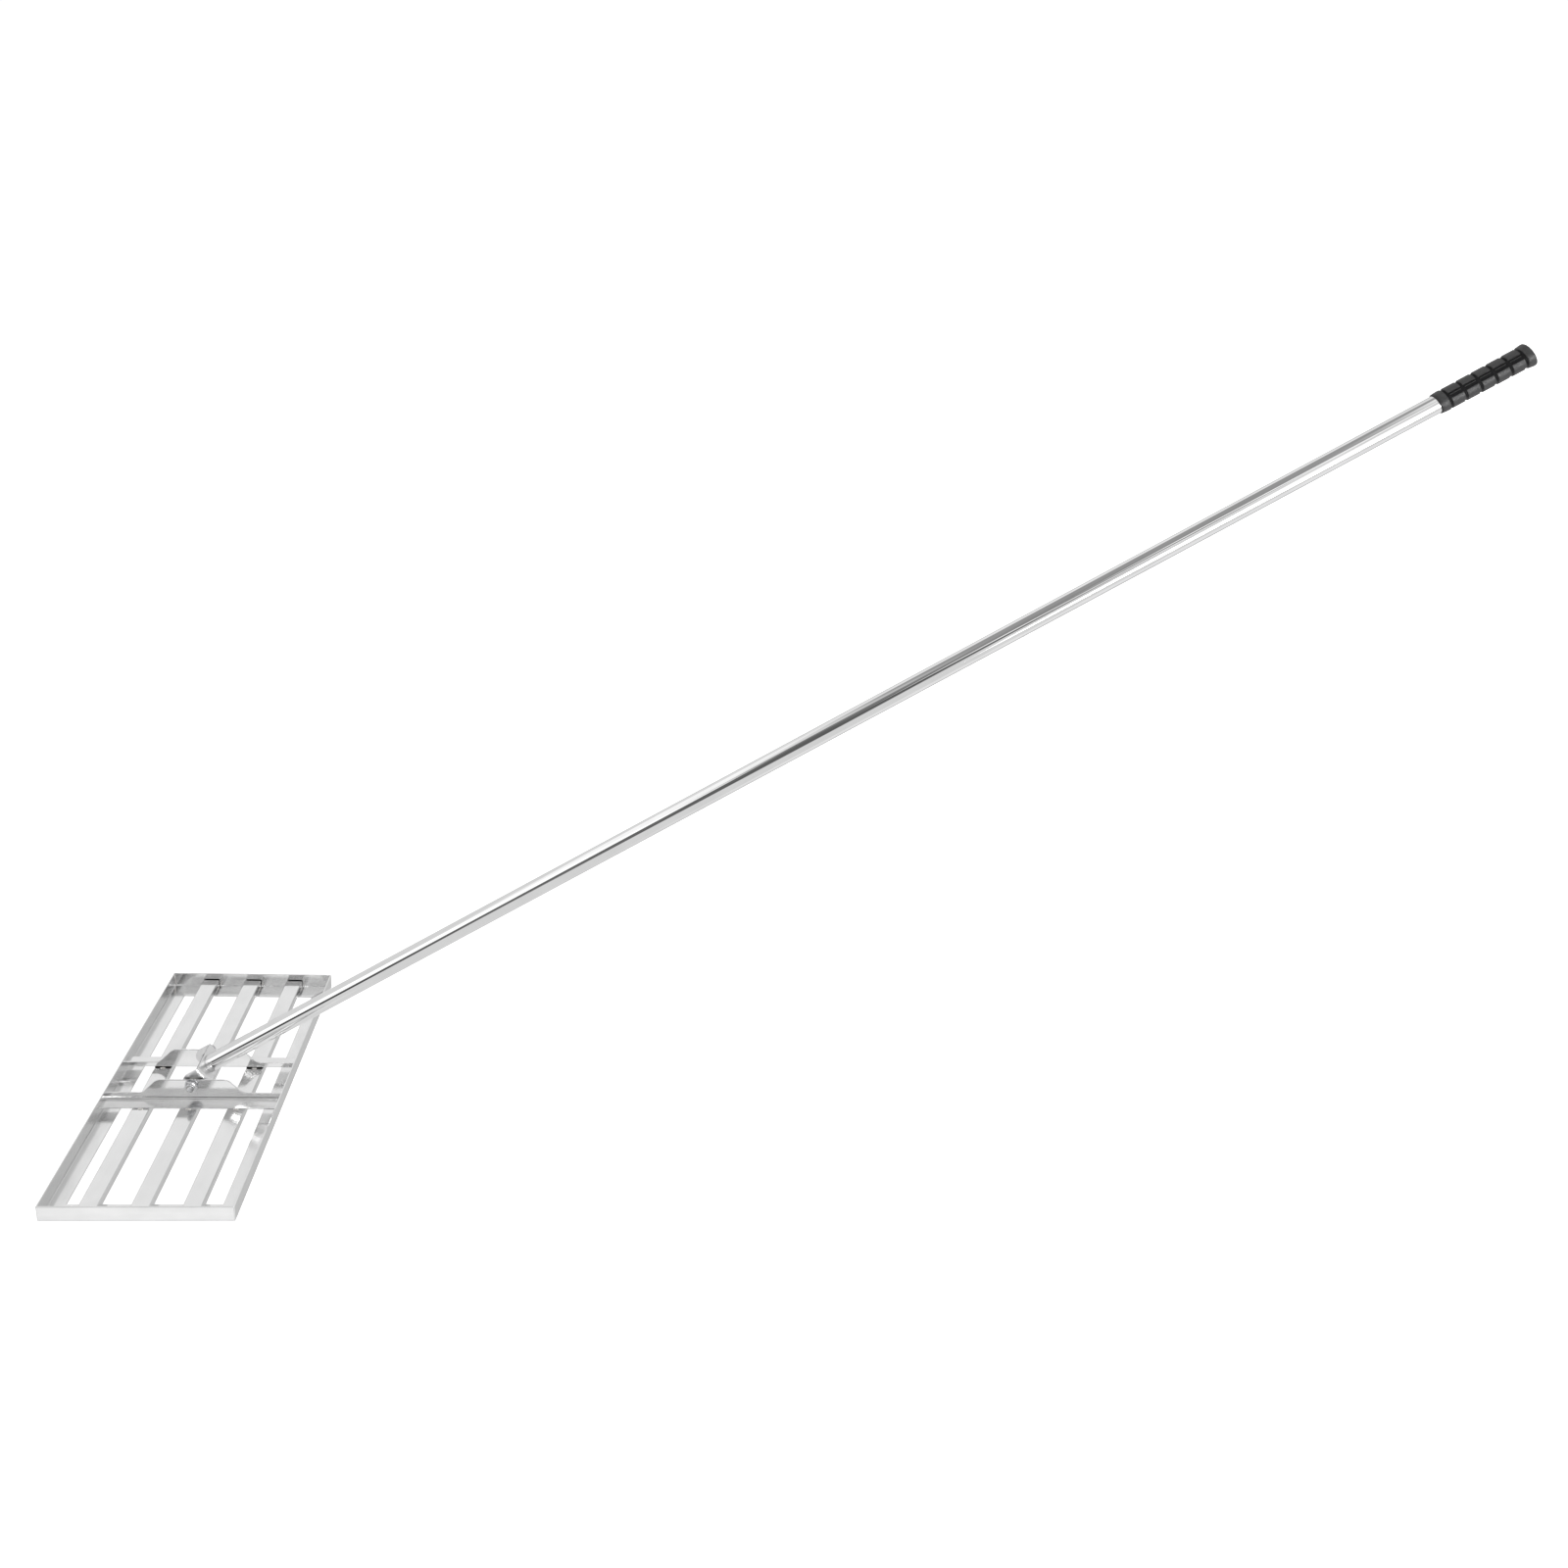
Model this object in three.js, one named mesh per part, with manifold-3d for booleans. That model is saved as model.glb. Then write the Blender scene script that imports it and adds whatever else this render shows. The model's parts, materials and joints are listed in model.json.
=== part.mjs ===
// Lawn levelling rake: a low stainless-steel drag frame on a long pole with a rubber grip.
// Millimetres, +Z up. The origin is on the ground under the left rail's sole, halfway along it and in
// the upright plane of the pole. Y runs along the frame's long way and along the pivot bolt; the pole
// leans over the +X rail.

import * as THREE from "three";
import { mergeVertices } from "three/addons/utils/BufferGeometryUtils.js";
import Module from "manifold-3d";

const wasm = await Module();
wasm.setup();

// ---- driving dimensions ----

const CLEARANCE = 0.3; // between pieces that touch in the turned handle group
const WELD_GAP = 0.2; // between welded pieces of the frame

const FRAME_LENGTH = 430; // along Y
const FRAME_WIDTH = 250; // along X
const RAIL_HEIGHT = 25;
const RAIL_FLANGE = 25; // inward flange that rides on the ground
const SHEET = 2; // rail and bracket sheet
const RAIL_BEND = 3.5; // outer radius of a rail's fold

const SLAT_COUNT = 3;
const SLAT_PITCH = 66;
const SLAT_WIDTH = 25;
const SLAT_HEIGHT = 12;
const SLAT_WALL = 1.5;
const SLAT_CORNER = 1.5; // outer corner radius of the slat tube

const WEB_INNER_Y = 27.5; // inner face of each cross bracket's upright web
const BRACKET_FLANGE_Y = 47.5; // outer edge of its foot, which lies on the slats
const BRACKET_BEND = 5;
const WEB_END_HEIGHT = 24.5; // height of the web beside the rails
const HUMP_HEIGHT = 47.5; // height of the raised middle that carries the bolt
const HUMP_HALF_TOP = 44;
const HUMP_HALF_BASE = 76;
const HUMP_ROUND = 13; // radius of the hump's shoulders and of the hollows beside them

const PIVOT_X = 110; // from the origin to the bolt's axis, which is over the middle of the frame
const PIVOT_HEIGHT = 40;
const HANDLE_ANGLE = 33.5; // degrees above the ground
const BOLT_RADIUS = 5; // M10
const BOLT_HOLE_RADIUS = 5.4;
const BOLT_FLATS = 16; // across flats, head and nut
const BOLT_HEAD_HEIGHT = 6.4;
const NUT_HEX_HEIGHT = 4.8;
const NUT_HEIGHT = 6.8; // with the round collar that locks it
const NUT_COLLAR_RADIUS = 6.8;
const BOLT_END = 0.6; // thread that shows beyond the nut
const WASHER_RADIUS = 10;
const WASHER_THICKNESS = 1.4;
const SPACER_RADIUS = 7.5; // plastic bush washer between a web and the fork

const FORK_OUTER_Y = 25.5; // outer face of each lug
const FORK_SHEET = 3;
const FORK_HALF_WIDTH = 15;
const FORK_TOP = 19.3; // outer face of the bridge, measured from the bolt's axis
const FORK_BEND = 5;

const POLE_RADIUS = 12.5;
const POLE_WALL = 1.2;
const POLE_SECTIONS = 5;
const POLE_END = 2095.5; // end of the pole, measured from the bolt's axis
const POLE_CHAMFER = 0.4;
const STUD_RADIUS = 8; // M16 thread that joins two sections
const STUD_LENGTH = 28;
const STUD_POINT = 1; // chamfer at the stud's tip
const PLUG_LENGTH = 30;
const SOCKET_LENGTH = 32;

const FOOT_BOLT_RADIUS = 4; // M8
const FOOT_BOLT_HOLE_RADIUS = 4.4;
const FOOT_BOLT_FLATS = 13;
const FOOT_BOLT_HEAD = 5.3;
const FOOT_BOLT_LENGTH = 26;
const FOOT_WASHER_RADIUS = 8;
const FOOT_PLUG_LENGTH = 32;

const GRIP_LENGTH = 132;
const GRIP_CAP = 4; // rubber over the end of the pole
const GRIP_LIP_RADIUS = 13.8;
const GRIP_COLLAR_RADIUS = 14.5;
const GRIP_GROOVE_RADIUS = 13.4;
const GRIP_PAD_RADIUS = 15; // grows by GRIP_TAPER from the first ring to the last
const GRIP_TAPER = 0.5;
const GRIP_END_RADIUS = 16.2;
const GRIP_RINGS = 5;
const GRIP_COLLAR = 13; // length of the plain collar at each end
const GRIP_GROOVE = 2.4;
const GRIP_EDGE = 0.6; // rounding of the pads' edges
const GRIP_RIM = 1; // rounding of the closed end

const CHAMFER = 0.3; // small edges of washers, plugs and sockets
const HEX_EDGE = 0.4; // how far a hexagon's end face stops short of its flats
const HEX_SLOPE = 0.087; // height of a hexagon's turned-off corners, as a share of its flats
const OVERSHOOT = 1; // how far a cut or a joined piece runs past the face that it meets

const ROUND_SIDES = 32;
const SMALL_SIDES = 24;
const BEND_STEPS = 4;
const CORNER_STEPS = 3;
const SHOULDER_STEPS = 6;
const LUG_STEPS = 20;

// ---- derived places ----

const halfLength = FRAME_LENGTH / 2;
const halfWidth = FRAME_WIDTH / 2;
const slatTop = SHEET + SLAT_HEIGHT;
const webOuterY = WEB_INNER_Y + SHEET;
const boltHeadY = webOuterY + WASHER_THICKNESS + 2 * WELD_GAP;
const poleStart = FORK_TOP + CLEARANCE;
const sectionLength = (POLE_END - poleStart) / POLE_SECTIONS;
const boreRadius = POLE_RADIUS - POLE_WALL;
const gripStart = POLE_END + CLEARANCE + GRIP_CAP - GRIP_LENGTH;

// ---- materials ----

const finish = (color, metalness, roughness) => () =>
  new THREE.MeshStandardMaterial({ color, metalness, roughness });

const polishedSteel = finish(0xd6d7d8, 1, 0.18);
const zincSteel = finish(0xb9bbbd, 1, 0.35);
const nylon = finish(0x2c2d2f, 0, 0.55);
const rubber = finish(0x2b2c2d, 0, 0.7);

// ---- shape helpers ----

const point = (x, y) => new THREE.Vector2(x, y);

// Points of an arc from one angle to another, in degrees.
function arc(cx, cy, radius, from, to, steps = BEND_STEPS) {
  return Array.from({ length: steps + 1 }, (_, i) => {
    const angle = THREE.MathUtils.degToRad(from + ((to - from) * i) / steps);
    return point(cx + radius * Math.cos(angle), cy + radius * Math.sin(angle));
  });
}

// A prism of the outline, from -length/2 to +length/2 along its own +Z.
function prism(outline, length) {
  const geometry = new THREE.ExtrudeGeometry(new THREE.Shape(outline), {
    depth: length,
    bevelEnabled: false,
  });
  return geometry.translate(0, 0, -length / 2);
}

// The outline's first axis becomes X and its second Z; the prism runs along Y.
const alongY = (geometry) => geometry.rotateX(Math.PI / 2);

// The outline's first axis becomes Y and its second Z; the prism runs along X.
const alongX = (geometry) => geometry.rotateX(Math.PI / 2).rotateZ(Math.PI / 2);

// A turned piece about +Z; the profile holds [radius, height] pairs and closes on itself.
function turned(profile, sides = ROUND_SIDES) {
  const ring = profile.concat([profile[0]]).map(([radius, height]) => point(radius, height));
  return new THREE.LatheGeometry(ring, sides).rotateX(Math.PI / 2);
}

// A plain ring or tube about +Z, with small chamfers on the outer edges if asked.
function tube(inner, outer, from, to, chamfer = 0, sides = ROUND_SIDES) {
  const profile = [[inner, from], [outer - chamfer, from]];
  if (chamfer) profile.push([outer, from + chamfer], [outer, to - chamfer]);
  profile.push([outer - chamfer, to], [inner, to]);
  return turned(profile, sides);
}

// A plain cylinder about +Z, or a prism of few sides.
function rod(radius, from, to, sides = SMALL_SIDES) {
  const geometry = new THREE.CylinderGeometry(radius, radius, to - from, sides);
  return geometry.rotateX(Math.PI / 2).translate(0, 0, (from + to) / 2);
}

// A straight hole through everything along Y, at a height above the origin.
function holeAlongY(radius, height) {
  return rod(radius, -FRAME_LENGTH, FRAME_LENGTH).rotateX(Math.PI / 2).translate(0, 0, height);
}

// A hexagonal prism about +Z whose outer corners are turned off at both ends.
function hexagon(flats, from, to) {
  const corner = flats / 2 / Math.cos(Math.PI / 6);
  const face = flats / 2 - HEX_EDGE;
  const rim = corner + HEX_EDGE;
  const drop = HEX_SLOPE * flats;
  const turnedBlank = turned([
    [0, from],
    [face, from],
    [rim, from + drop],
    [rim, to - drop],
    [face, to],
    [0, to],
  ]);
  return intersection(rod(corner, from, to, 6), turnedBlank);
}

// ---- joining and cutting ----

function solid(geometry) {
  const bare = new THREE.BufferGeometry().setAttribute("position", geometry.getAttribute("position"));
  if (geometry.index) bare.setIndex(geometry.index);
  const merged = mergeVertices(bare, 1e-4);
  return new wasm.Manifold(
    new wasm.Mesh({
      numProp: 3,
      vertProperties: merged.attributes.position.array,
      triVerts: new Uint32Array(merged.index.array),
    }),
  );
}

function geometryOf(manifold) {
  const mesh = manifold.getMesh();
  const geometry = new THREE.BufferGeometry();
  geometry.setAttribute("position", new THREE.BufferAttribute(mesh.vertProperties, 3));
  geometry.setIndex(new THREE.BufferAttribute(mesh.triVerts, 1));
  return geometry;
}

const union = (...pieces) => geometryOf(pieces.map(solid).reduce((a, b) => a.add(b)));
const intersection = (a, b) => geometryOf(solid(a).intersect(solid(b)));
const difference = (body, ...cuts) =>
  geometryOf(cuts.map(solid).reduce((a, b) => a.subtract(b), solid(body)));

function mesh(name, geometry, material) {
  const flat = geometry.index ? geometry.toNonIndexed() : geometry;
  flat.computeVertexNormals();
  const piece = new THREE.Mesh(flat, material);
  piece.name = name;
  return piece;
}

// ---- drag frame; it is centred on x = 0 in the rake's group ----

// Folded angle section: an upright wall at u = 0 and a flange at the bottom, towards +u.
function angleSection(flange, height, sheet, bend) {
  return [
    ...arc(bend, bend, bend, 180, 270),
    point(flange, 0),
    point(flange, sheet),
    ...arc(bend, bend, bend - sheet, 270, 180),
    point(sheet, height),
    point(0, height),
  ];
}

// A rail of the rim, lying along Y with its wall at x = 0 and both ends mitred at 45 degrees.
function mitredRail(length) {
  const geometry = alongY(prism(angleSection(RAIL_FLANGE, RAIL_HEIGHT, SHEET, RAIL_BEND), length));
  const position = geometry.getAttribute("position");
  for (let i = 0; i < position.count; i++) {
    const reach = length / 2 - position.getX(i) - WELD_GAP / 2;
    position.setY(i, Math.sign(position.getY(i)) * reach);
  }
  return geometry;
}

function rim() {
  const rails = [
    ["rim_rail_left", FRAME_LENGTH, -halfWidth, 0, 0],
    ["rim_rail_right", FRAME_LENGTH, halfWidth, 0, 180],
    ["rim_end_front", FRAME_WIDTH, 0, -halfLength, 90],
    ["rim_end_rear", FRAME_WIDTH, 0, halfLength, -90],
  ];
  return rails.map(([name, length, x, y, turn]) => {
    const rail = mesh(name, mitredRail(length), polishedSteel());
    rail.position.set(x, y, 0);
    rail.rotation.z = THREE.MathUtils.degToRad(turn);
    return rail;
  });
}

// Rectangular tube with rounded outer corners, lying along Y on the end flanges.
function slat(name, x) {
  const half = SLAT_WIDTH / 2;
  const inset = half - SLAT_CORNER;
  const corner = (x, y, from) => arc(x, y, SLAT_CORNER, from, from + 90, CORNER_STEPS);
  const outline = new THREE.Shape([
    ...corner(inset, SLAT_CORNER, -90),
    ...corner(inset, SLAT_HEIGHT - SLAT_CORNER, 0),
    ...corner(-inset, SLAT_HEIGHT - SLAT_CORNER, 90),
    ...corner(-inset, SLAT_CORNER, 180),
  ]);
  const inner = half - SLAT_WALL;
  outline.holes.push(
    new THREE.Path([
      point(-inner, SLAT_WALL),
      point(-inner, SLAT_HEIGHT - SLAT_WALL),
      point(inner, SLAT_HEIGHT - SLAT_WALL),
      point(inner, SLAT_WALL),
    ]),
  );
  const length = FRAME_LENGTH - 2 * RAIL_BEND - 2 * WELD_GAP;
  const geometry = new THREE.ExtrudeGeometry(outline, { depth: length, bevelEnabled: false });
  const piece = mesh(name, alongY(geometry.translate(0, 0, -length / 2)), polishedSteel());
  piece.position.set(x, 0, SHEET);
  return piece;
}

// Side view of a cross bracket: level beside the rails, with a round-shouldered hump between.
function bracketOutline() {
  const end = halfWidth - SHEET - WELD_GAP;
  const foot = slatTop - OVERSHOOT;
  const crestX = HUMP_HALF_TOP;
  const crestY = HUMP_HEIGHT - HUMP_ROUND;
  const hollowX = HUMP_HALF_BASE;
  const hollowY = WEB_END_HEIGHT + HUMP_ROUND;
  // Both arcs turn by the same angle, so that one straight flank touches them both.
  const across = hollowX - crestX;
  const down = crestY - hollowY;
  const span = Math.hypot(across, down);
  const turn = Math.atan2(down, across) + Math.acos((2 * HUMP_ROUND) / span);
  const flank = THREE.MathUtils.radToDeg(turn);
  const half = [
    ...arc(hollowX, hollowY, HUMP_ROUND, 270, 180 + flank, SHOULDER_STEPS),
    ...arc(crestX, crestY, HUMP_ROUND, flank, 90, SHOULDER_STEPS),
  ];
  const mirrored = half.map((p) => point(-p.x, p.y)).reverse();
  return [
    point(-end, foot),
    point(end, foot),
    point(end, WEB_END_HEIGHT),
    ...half,
    ...mirrored,
    point(-end, WEB_END_HEIGHT),
  ];
}

// One folded cross bracket; side is -1 for the front one and +1 for the rear one.
function crossBracket(name, side) {
  const foot = BRACKET_FLANGE_Y - WEB_INNER_Y;
  const section = angleSection(foot, HUMP_HEIGHT - slatTop + OVERSHOOT, SHEET, BRACKET_BEND);
  const strip = alongX(prism(section, FRAME_WIDTH)).translate(0, WEB_INNER_Y, slatTop);
  const blank = alongY(prism(bracketOutline(), 4 * BRACKET_FLANGE_Y));
  const hole = holeAlongY(BOLT_HOLE_RADIUS, PIVOT_HEIGHT);
  const piece = mesh(name, difference(intersection(strip, blank), hole), polishedSteel());
  if (side < 0) piece.rotation.z = Math.PI;
  return piece;
}

// ---- pivot bolt and what is threaded on it ----

// Each piece is made about +Z, which is then laid along -Y.
function onBolt(name, geometry, material) {
  const piece = mesh(name, geometry, material);
  piece.position.z = PIVOT_HEIGHT;
  piece.rotation.x = Math.PI / 2;
  return piece;
}

function pivotHardware() {
  const head = hexagon(BOLT_FLATS, -boltHeadY - BOLT_HEAD_HEIGHT, -boltHeadY);
  const nutStart = boltHeadY;
  const nutEnd = nutStart + NUT_HEIGHT;
  const shank = rod(BOLT_RADIUS, -boltHeadY - OVERSHOOT, nutEnd + BOLT_END);
  const nut = union(
    hexagon(BOLT_FLATS, nutStart, nutStart + NUT_HEX_HEIGHT),
    rod(NUT_COLLAR_RADIUS, nutStart + NUT_HEX_HEIGHT - OVERSHOOT, nutEnd),
  );
  const thread = rod(BOLT_RADIUS + WELD_GAP, nutStart - OVERSHOOT, nutEnd + OVERSHOOT);
  const washer = (from) => {
    const to = from + WASHER_THICKNESS;
    return tube(BOLT_HOLE_RADIUS, WASHER_RADIUS, from, to, CHAMFER, SMALL_SIDES);
  };
  const spacer = (from) => {
    const to = from + WEB_INNER_Y - FORK_OUTER_Y - 2 * CLEARANCE;
    return tube(BOLT_HOLE_RADIUS, SPACER_RADIUS, from, to, 0, SMALL_SIDES);
  };
  return [
    onBolt("pivot_bolt", union(head, shank), zincSteel()),
    onBolt("pivot_washer_front", washer(webOuterY + WELD_GAP), zincSteel()),
    onBolt("pivot_washer_rear", washer(-webOuterY - WELD_GAP - WASHER_THICKNESS), zincSteel()),
    onBolt("pivot_lock_nut", difference(nut, thread), zincSteel()),
    onBolt("pivot_spacer_front", spacer(FORK_OUTER_Y + CLEARANCE), nylon()),
    onBolt("pivot_spacer_rear", spacer(CLEARANCE - WEB_INNER_Y), nylon()),
  ];
}

// ---- handle; its own +Z runs along the pole from the bolt's axis ----

// U-shaped fork: two lugs on the pivot bolt, joined by the bridge that carries the pole.
function fork() {
  const outer = FORK_OUTER_Y;
  const inner = outer - FORK_SHEET;
  const innerBend = FORK_BEND - FORK_SHEET;
  const reach = -FORK_HALF_WIDTH - OVERSHOOT;
  const section = [
    point(outer, reach),
    ...arc(outer - FORK_BEND, FORK_TOP - FORK_BEND, FORK_BEND, 0, 90),
    ...arc(FORK_BEND - outer, FORK_TOP - FORK_BEND, FORK_BEND, 90, 180),
    point(-outer, reach),
    point(-inner, reach),
    ...arc(FORK_BEND - outer, FORK_TOP - FORK_BEND, innerBend, 180, 90),
    ...arc(outer - FORK_BEND, FORK_TOP - FORK_BEND, innerBend, 90, 0),
    point(inner, reach),
  ];
  const outline = [
    point(FORK_HALF_WIDTH, FORK_TOP + OVERSHOOT),
    point(-FORK_HALF_WIDTH, FORK_TOP + OVERSHOOT),
    ...arc(0, 0, FORK_HALF_WIDTH, 180, 360, LUG_STEPS),
  ];
  const bent = alongX(prism(section, 4 * FORK_HALF_WIDTH));
  const blank = alongY(prism(outline, 4 * FORK_OUTER_Y));
  const boltHoles = holeAlongY(BOLT_HOLE_RADIUS, 0);
  const footHole = rod(FOOT_BOLT_HOLE_RADIUS, BOLT_RADIUS, 2 * FORK_TOP);
  const lugs = difference(intersection(bent, blank), boltHoles, footHole);
  return mesh("swivel_fork", lugs, polishedSteel());
}

// The bolt through the bridge that screws the pole on, its washer, and the plug that it screws into.
function poleFoot() {
  const washerTop = FORK_TOP - FORK_SHEET - CLEARANCE;
  const headTop = washerTop - WASHER_THICKNESS - CLEARANCE;
  const bolt = union(
    hexagon(FOOT_BOLT_FLATS, headTop - FOOT_BOLT_HEAD, headTop),
    rod(FOOT_BOLT_RADIUS, headTop - OVERSHOOT, headTop + FOOT_BOLT_LENGTH),
  );
  const washerFrom = washerTop - WASHER_THICKNESS;
  const washer = tube(
    FOOT_BOLT_HOLE_RADIUS, FOOT_WASHER_RADIUS, washerFrom, washerTop, CHAMFER, SMALL_SIDES,
  );
  const plugEnd = poleStart + FOOT_PLUG_LENGTH;
  const plug = tube(
    FOOT_BOLT_HOLE_RADIUS, boreRadius - CLEARANCE, poleStart, plugEnd, CHAMFER, SMALL_SIDES,
  );
  return [
    mesh("foot_bolt", bolt, zincSteel()),
    mesh("foot_washer", washer, zincSteel()),
    mesh("pole_foot_plug", plug, zincSteel()),
  ];
}

function poleSections() {
  return Array.from({ length: POLE_SECTIONS }, (_, i) => {
    const from = poleStart + i * sectionLength;
    const to = from + sectionLength - (i < POLE_SECTIONS - 1 ? CLEARANCE : 0);
    const geometry = tube(boreRadius, POLE_RADIUS, from, to, POLE_CHAMFER);
    return mesh("pole_section_" + (i + 1), geometry, polishedSteel());
  });
}

// Each joint has a plug with a threaded stud in the lower section, and a threaded socket in the upper.
function poleJoints() {
  const outer = boreRadius - CLEARANCE;
  return Array.from({ length: POLE_SECTIONS - 1 }, (_, i) => {
    const seam = poleStart + (i + 1) * sectionLength;
    const shoulder = seam - CLEARANCE;
    const stud = turned(
      [
        [0, shoulder - PLUG_LENGTH],
        [outer, shoulder - PLUG_LENGTH],
        [outer, shoulder],
        [STUD_RADIUS, shoulder],
        [STUD_RADIUS, shoulder + STUD_LENGTH - STUD_POINT],
        [STUD_RADIUS - STUD_POINT, shoulder + STUD_LENGTH],
        [0, shoulder + STUD_LENGTH],
      ],
      SMALL_SIDES,
    );
    const socketEnd = seam + SOCKET_LENGTH;
    const socket = tube(STUD_RADIUS + CLEARANCE, outer, seam, socketEnd, CHAMFER, SMALL_SIDES);
    return [
      mesh("joint_stud_" + (i + 1), stud, zincSteel()),
      mesh("joint_socket_" + (i + 1), socket, zincSteel()),
    ];
  }).flat();
}

// Rubber sleeve, closed over the pole's end: a plain collar, rings of pads between grooves, and a
// flared end.
function grip() {
  const bore = POLE_RADIUS + CLEARANCE;
  const end = gripStart + GRIP_LENGTH;
  const ringsFrom = gripStart + GRIP_COLLAR;
  const ringPitch = (GRIP_LENGTH - 2 * GRIP_COLLAR) / GRIP_RINGS;
  const profile = [
    [0, POLE_END + CLEARANCE],
    [bore, POLE_END + CLEARANCE],
    [bore, gripStart],
    [GRIP_LIP_RADIUS, gripStart],
    [GRIP_COLLAR_RADIUS, ringsFrom - GRIP_COLLAR / 3],
    [GRIP_COLLAR_RADIUS, ringsFrom],
  ];
  for (let i = 0; i < GRIP_RINGS; i++) {
    const from = ringsFrom + i * ringPitch;
    const radius = GRIP_PAD_RADIUS + (GRIP_TAPER * i) / (GRIP_RINGS - 1);
    profile.push(
      [GRIP_GROOVE_RADIUS, from + GRIP_EDGE],
      [GRIP_GROOVE_RADIUS, from + GRIP_GROOVE],
      [radius, from + GRIP_GROOVE + GRIP_EDGE],
      [radius, from + ringPitch - GRIP_EDGE],
      [radius - GRIP_EDGE, from + ringPitch],
    );
  }
  const collarFrom = end - GRIP_COLLAR;
  profile.push(
    [GRIP_GROOVE_RADIUS, collarFrom + GRIP_EDGE],
    [GRIP_GROOVE_RADIUS, collarFrom + GRIP_GROOVE],
    [GRIP_END_RADIUS - GRIP_EDGE, collarFrom + GRIP_GROOVE + GRIP_EDGE],
    [GRIP_END_RADIUS, end - GRIP_COLLAR / 3],
    [GRIP_END_RADIUS, end - GRIP_RIM],
    [GRIP_END_RADIUS - GRIP_RIM, end],
    [0, end],
  );
  return mesh("grip", turned(profile), rubber());
}

// ---- assembly ----

const rake = new THREE.Group();
rake.position.x = PIVOT_X;
rake.add(...rim());
for (let i = 0; i < SLAT_COUNT; i++) {
  rake.add(slat("slat_" + (i + 1), (i - (SLAT_COUNT - 1) / 2) * SLAT_PITCH));
}
rake.add(crossBracket("cross_bracket_front", -1), crossBracket("cross_bracket_rear", 1));
rake.add(...pivotHardware());

const handle = new THREE.Group();
handle.position.z = PIVOT_HEIGHT;
handle.rotation.y = THREE.MathUtils.degToRad(90 - HANDLE_ANGLE);
handle.add(fork(), ...poleFoot(), ...poleSections(), ...poleJoints(), grip());
rake.add(handle);

export default rake;
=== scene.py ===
"""The looks of a lawn levelling rake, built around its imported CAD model. Metres, +Z up."""

import json
import math

import bmesh
import bpy
from mathutils import Matrix, Vector


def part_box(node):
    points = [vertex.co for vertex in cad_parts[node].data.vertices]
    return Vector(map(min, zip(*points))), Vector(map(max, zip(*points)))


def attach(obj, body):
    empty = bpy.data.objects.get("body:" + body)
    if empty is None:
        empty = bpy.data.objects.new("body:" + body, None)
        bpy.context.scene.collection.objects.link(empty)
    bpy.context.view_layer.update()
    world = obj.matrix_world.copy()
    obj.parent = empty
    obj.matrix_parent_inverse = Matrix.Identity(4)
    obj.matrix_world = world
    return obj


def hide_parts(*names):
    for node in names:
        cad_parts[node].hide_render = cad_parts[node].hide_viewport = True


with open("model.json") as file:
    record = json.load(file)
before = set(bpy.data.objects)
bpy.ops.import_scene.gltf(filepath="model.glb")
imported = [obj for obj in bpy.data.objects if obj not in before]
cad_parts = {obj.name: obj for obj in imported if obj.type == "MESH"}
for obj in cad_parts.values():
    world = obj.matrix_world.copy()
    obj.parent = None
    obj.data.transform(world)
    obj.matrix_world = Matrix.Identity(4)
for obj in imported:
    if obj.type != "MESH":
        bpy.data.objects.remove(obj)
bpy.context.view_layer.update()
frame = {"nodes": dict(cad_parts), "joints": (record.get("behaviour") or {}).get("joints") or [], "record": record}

MM = 0.001

# ---- places and sizes that the frame gives ----


def size(node):
    low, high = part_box(node)
    return high - low


def middle(node):
    low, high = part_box(node)
    return (low + high) / 2


PIVOT = Vector(frame["joints"][0]["pos_m"])
POLE = (middle("pole_section_3") - PIVOT).normalized()
# The handle's own frame: its origin is on the bolt's axis and its +Z runs up the pole.
HANDLE = Matrix.Translation(PIVOT) @ Matrix.Rotation(math.atan2(POLE.x, POLE.z), 4, "Y")


def reach(node):
    """How far a node of the handle reaches along the pole, measured from the bolt's axis."""
    ends = [(v.co - PIVOT).dot(POLE) for v in frame["nodes"][node].data.vertices]
    return min(ends), max(ends)


HAIR = 0.002 * MM  # keeps rounded-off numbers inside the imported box
RIM_LOW = Vector((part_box("rim_rail_left")[0].x + HAIR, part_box("rim_end_front")[0].y + HAIR, 0))
RIM_HIGH = Vector((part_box("rim_rail_right")[1].x - HAIR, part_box("rim_end_rear")[1].y - HAIR, 0))
RIM_HIGH.z = size("rim_rail_left").z
RIM_MIDDLE = (RIM_LOW + RIM_HIGH) / 2
FLANGE = size("rim_rail_left").x
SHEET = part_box("slat_1")[0].z
SLAT_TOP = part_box("slat_1")[1].z
SLATS = ("slat_1", "slat_2", "slat_3")

# ---- shapes that the frame's boxes don't give ----

RAIL_BEND = 3.5 * MM  # outer radius of the rails' fold
BRACKET_BEND = 5 * MM
FLANGE_FALL = 0.07  # slope that the flanges are shaded with, as if folded a little past square
CORNER_ROUND = 1.5 * MM  # ground corner of the rim
SHEET_EDGE = 0.4 * MM  # rounding of a cut sheet's edges
SLAT_WALL = 1.5 * MM
SLAT_CORNER = 1.5 * MM  # outer radius of the tubes' long corners
WEB_END_HEIGHT = 24.5 * MM
HUMP_HALF_TOP = 44 * MM
HUMP_HALF_BASE = 76 * MM
HUMP_ROUND = 13 * MM  # radius of the hump's shoulders and of the hollows beside them
FORK_SHEET = 3 * MM
FORK_BEND = 5 * MM
BOLT_RADIUS = 5 * MM
BOLT_HOLE = 5.4 * MM
FOOT_BOLT_RADIUS = 4 * MM
FOOT_BOLT_FLATS = 13 * MM
FOOT_HOLE = 4.4 * MM
POLE_WALL = 1.2 * MM
THREAD_PITCH = 1.5 * MM
THREAD_DEPTH = 0.5 * MM
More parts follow.
